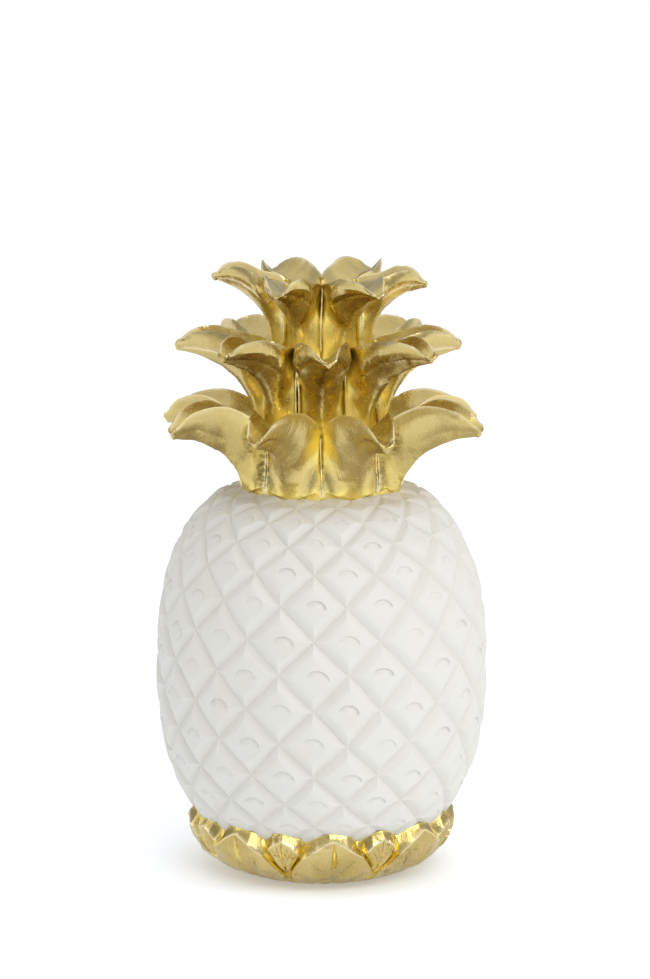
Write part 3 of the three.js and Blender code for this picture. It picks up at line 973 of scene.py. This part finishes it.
def collar_rings():
    half = [(first, second, t, 1) for first, second, t in collar_columns()]
    whole = half + [(first, second, t, -1) for first, second, t, _ in half[-2:0:-1]]
    rows = np.concatenate([np.linspace(0, 0.12, 7)[:-1], np.linspace(0.12, 1, COLLAR_ROWS - 6)])

    def ring(place):
        points = []
        for leaf in range(COLLAR_LEAVES):
            for first, second, t, side in whole:
                start = COLLAR_PHASE + (leaf + (side < 0)) * SECTOR
                soft = t * t * (3 - 2 * t)
                if first[0] == second[0]:
                    kind = first[0]
                    share = first[1] + (second[1] - first[1]) * t
                else:
                    kind = "small" if second[0] == "small" else "edge"
                    share = t * second[1]
                relief = first[2] + (second[2] - first[2]) * soft
                ridge = first[3] + (second[3] - first[3]) * t
                top = first[4] + (second[4] - first[4]) * t
                whose = leaf + (side < 0) if kind == "broad" else leaf

                def azimuth_of(height):
                    a = across_at(first[0], first[1], height)
                    b = across_at(second[0], second[1], height)
                    return start + side * (a + (b - a) * t)

                def relief_at(up):
                    return collar_relief(whose, side, kind, share, relief, up)

                points.append(place(relief_at, ridge, top, azimuth_of))
        return np.array(points)

    rings = []
    for row in rows:
        def wall(relief, ridge, top, azimuth_of):
            height = row * ridge
            return polar(azimuth_of(height), bowl_radius(height) + relief(row), height)
        rings.append(ring(wall))
    for share in CHAMFER_STEPS:
        def chamfer(relief, ridge, top, azimuth_of):
            height = ridge + (top - ridge) * share
            low = bowl_radius(ridge) + relief(1.0)
            out = low + (fruit_radius(top) - COLLAR_BITE - low) * share**0.9
            return polar(azimuth_of(height), out, height)
        rings.append(ring(chamfer))

    def inside(relief, ridge, top, azimuth_of):
        height = top - 1
        return polar(azimuth_of(height), fruit_radius(height) - INNER_BITE, height)

    rings.append(ring(inside))
    return rings


def make_collar():
    """The collar as one skin, with the places of its leaves' ridges."""
    rings = collar_rings()
    return loft("foot_gold", rings), rings[COLLAR_ROWS - 1] * MM


# Finishes

def new_finish(name):
    material = bpy.data.materials.new(name)
    material.use_nodes = True
    material.node_tree.nodes.clear()
    tree = Tree(material.node_tree)
    return material, tree


def finish_with(tree, values):
    surface = tree.node("ShaderNodeBsdfPrincipled", None, values)
    tree.node("ShaderNodeOutputMaterial", None, {"Surface": surface})


def white_paint():
    material, tree = new_finish("white_paint")
    place = tree.node("ShaderNodeTexCoord", None, None, "Object")
    height = tree.split(place)[2]
    recess = tree.node("ShaderNodeAttribute", {"attribute_name": "recess"}, None, "Fac")
    cloud = tree.node("ShaderNodeTexNoise", None, {"Vector": place, "Scale": 60.0, "Detail": 3.0})
    speck = tree.node("ShaderNodeTexNoise", None, {"Vector": place, "Scale": 900.0, "Detail": 2.0})
    brush = tree.node("ShaderNodeTexNoise", None, {"Vector": place, "Scale": 240.0, "Detail": 4.0})
    clean = tree.tint(cloud, (0.69, 0.675, 0.625, 1), (0.745, 0.73, 0.69, 1))
    cream = tree.tint(tree.smoothstep(cloud, 0.5, 0.72) * 0.55, clean, (0.69, 0.67, 0.585, 1))
    # Painted shade: the fruit is painted darker and browner just under the crown's leaves, warmed as
    # light off the gold would warm it.
    under_crown_shade = tree.smoothstep(height, 0.148, 0.164)
    # Painted shade: the paint is darker in the grooves and nail marks, by their recess share.
    groove_shade = tree.tint((recess * 0.35 * (0.5 + cloud)).clamped(), cream, (0.62, 0.59, 0.50, 1))
    colour = tree.tint(under_crown_shade * 0.6, groove_shade, (0.62, 0.55, 0.44, 1))
    bump = {"Strength": 0.25, "Distance": 0.0004, "Height": brush * 0.7 + speck * 0.3}
    finish_with(tree, {
        "Base Color": colour,
        "Roughness": 0.5 + 0.2 * brush,
        "Normal": tree.node("ShaderNodeBump", None, bump),
    })
    return material


def gold_paint():
    material, tree = new_finish("gold_paint")
    place = tree.node("ShaderNodeTexCoord", None, None, "Object")
    upright = tree.node("ShaderNodeMapping", None, {"Vector": place, "Scale": (1.0, 1.0, 0.10)})

    def stored(name):
        return tree.node("ShaderNodeAttribute", {"attribute_name": name}, None, "Fac")

    def grain(vector, scale, detail):
        return tree.node("ShaderNodeTexNoise", None, {"Vector": vector, "Scale": scale, "Detail": detail})

    recess, sharp, hammered = stored("recess"), stored("sharp"), stored("hammered")
    facing = tree.split(tree.node("ShaderNodeNewGeometry", None, None, "Normal"))[2]
    cloud = grain(place, 75.0, 4.0)
    speck = grain(place, 1100.0, 3.0)
    streak = grain(upright, 1300.0, 3.0)
    rough = grain(place, 380.0, 4.0)
    facet = tree.node("ShaderNodeTexVoronoi", {"feature": "F1"}, {"Vector": place, "Scale": 130.0})
    patch = grain(place, 34.0, 2.0)
    dents = tree.node("ShaderNodeTexVoronoi", {"feature": "SMOOTH_F1"}, {"Vector": place, "Scale": 560.0})
    beaten_and_shaded = tree.smoothstep(hammered + (cloud - 0.5) * 1.2, 0.35, 0.75)
    clean = tree.tint(cloud, (0.64, 0.51, 0.23, 1), (0.50, 0.38, 0.13, 1))
    bright = tree.tint(tree.smoothstep(patch, 0.45, 0.65) * 0.45, clean, (0.38, 0.28, 0.08, 1))
    # Painted bounce light and painted shade: by how shut in each place is, the gold is painted brighter
    # and more saturated in the hollows, as light thrown between the leaves makes it, and darker in the
    # deepest gaps.
    shade = tree.smoothstep(recess + (cloud - 0.5) * 0.15, 0.1, 0.75)
    deep = tree.tint(tree.smoothstep(recess, 0.72, 1.0), (1.0, 0.81, 0.22, 1), (0.42, 0.32, 0.06, 1))
    painted = tree.tint(shade, bright, deep)
    # The beaten places are painted darker: painted shade on the side leaves' walls beside the front
    # seams, and darker, rougher gilding along the right leaf's rim.
    colour = tree.tint(beaten_and_shaded * 0.7, painted, (0.28, 0.19, 0.04, 1))
    brushed = ((streak - 0.5) * 1.5).clamped() * (0.35 + 0.5 * shade)
    streaked = tree.tint(brushed, colour, (0.80, 0.64, 0.26, 1))
    # Painted shade: faces that look upwards are painted greyer and darker.
    tops_painted_dim = tree.tint(tree.smoothstep(facing, 0.45, 0.95) * 0.55, streaked, (0.42, 0.34, 0.18, 1))
    # Painted highlight: pale gold along the sharp rims, folds, ribs and ridges.
    edge_highlight = tree.tint((sharp * 1.3 * (0.35 + cloud)).clamped() * 0.75, tops_painted_dim, (0.86, 0.75, 0.46, 1))
    height = facet * 0.4 + rough * (0.3 + shade * 0.2) + streak * 0.35 + speck * 0.08
    height = height + dents * beaten_and_shaded * 1.3
    bump = {"Strength": 0.5, "Distance": 0.0006, "Height": height}
    finish_with(tree, {
        "Base Color": edge_highlight,
        "Metallic": 1.0,
        "Roughness": (0.15 + 0.22 * rough + 0.06 * shade - 0.05 * sharp).clamped(),
        "Normal": tree.node("ShaderNodeBump", None, bump),
    })
    return material


def floor_finish():
    material, tree = new_finish("floor_white")
    finish_with(tree, {
        "Base Color": (0.86, 0.89, 0.94, 1),
        "Roughness": 0.9,
        "Specular IOR Level": 0.0,
        "Emission Color": (1, 1, 1, 1),
        "Emission Strength": 0.30,
    })
    return material


# Stage

def make_stage():
    half = 60
    corners = [(-half, -half, 0), (half, -half, 0), (half, half, 0), (-half, half, 0)]
    floor = new_object("floor", corners, [(0, 1, 2, 3)])
    floor.data.materials.append(floor_finish())

    def area_light(name, place, target, size, power):
        light = bpy.data.lights.new(name, "AREA")
        light.shape = "RECTANGLE"
        light.size, light.size_y = size
        light.energy = power
        made = bpy.data.objects.new(name, light)
        made.location = place
        made.rotation_euler = (Vector(target) - Vector(place)).to_track_quat("-Z", "Y").to_euler()
        bpy.context.scene.collection.objects.link(made)

    area_light("key_right", (1.5, -0.8, 1.1), (0, 0, 0.15), (0.3, 0.6), 6.0)
    area_light("strip_left", (-1.4, -0.3, 0.9), (0, 0, 0.15), (0.12, 0.9), 1.6)
    area_light("box_front", (0.35, -1.35, 1.3), (0, 0, 0.15), (1.1, 0.6), 6.5)
    world = bpy.data.worlds.new("studio")
    world.use_nodes = True
    world.node_tree.nodes.clear()
    tree = Tree(world.node_tree)
    direction = tree.node("ShaderNodeTexCoord", None, None, "Generated")
    right, back, up = tree.split(direction)
    strength = 0.47 + 0.12 * right + 0.05 * back + 0.68 * up * up
    sky = tree.node("ShaderNodeBackground", None, {"Color": (1, 1, 1, 1), "Strength": strength})
    tree.node("ShaderNodeOutputWorld", None, {"Surface": sky})
    bpy.context.scene.world = world
    bpy.context.scene.view_settings.view_transform = "Standard"


CAMERA_TILT = math.radians(10.3)
CAMERA_AWAY = 1.722
LOOKED_AT = 0.1584
# All three are counted in pixels of the photograph
FOCAL_LENGTH = 4200
PHOTO_HEIGHT = 979
AXIS_OFF_CENTRE = 3.5


def make_camera():
    """Looks at the ornament as the photograph does, a little from above."""
    camera = bpy.data.cameras.new("camera")
    camera.sensor_width = 36
    camera.lens = camera.sensor_width * FOCAL_LENGTH / PHOTO_HEIGHT
    camera.shift_x = AXIS_OFF_CENTRE / PHOTO_HEIGHT
    made = bpy.data.objects.new("camera", camera)
    back, up = CAMERA_AWAY * math.cos(CAMERA_TILT), CAMERA_AWAY * math.sin(CAMERA_TILT)
    made.location = (0, -back, LOOKED_AT + up)
    made.rotation_euler = (math.pi / 2 - CAMERA_TILT, 0, 0)
    bpy.context.scene.collection.objects.link(made)
    bpy.context.scene.camera = made


def dress(piece, paint=None):
    if paint:
        piece.data.materials.clear()
        piece.data.materials.append(paint)
    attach(piece, "root")
    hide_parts(NODE)


make_camera()
make_stage()
white = white_paint()
gold = gold_paint()
fruit = make_fruit(white)
crown, crown_edges, crown_cuts_and_shade = make_crown()
collar, collar_edges = make_collar()
store_near(crown, "sharp", crown_edges, CROWN_HIGHLIGHT_REACH)
store_near(crown, "hammered", crown_cuts_and_shade, TOOL_MARK_AND_SHADE_REACH)
store_near(collar, "sharp", collar_edges, COLLAR_HIGHLIGHT_REACH)
for leafy, wave in ((crown, CROWN_WAVE), (collar, COLLAR_WAVE)):
    carve_by_hand(leafy.data, wave)
    leafy.data.shade_smooth()
    leafy.data.set_sharp_from_angle(angle=math.radians(24))
fruit.data.set_sharp_from_angle(angle=math.radians(12))
# How shut in each place of the gold is sets where its shade and bounce light are painted.
store_hollows(crown, [fruit], CROWN_HOLLOW_REACH)
store_hollows(collar, [fruit], COLLAR_HOLLOW_REACH)
dress(fruit)
dress(crown, gold)
dress(collar, gold)
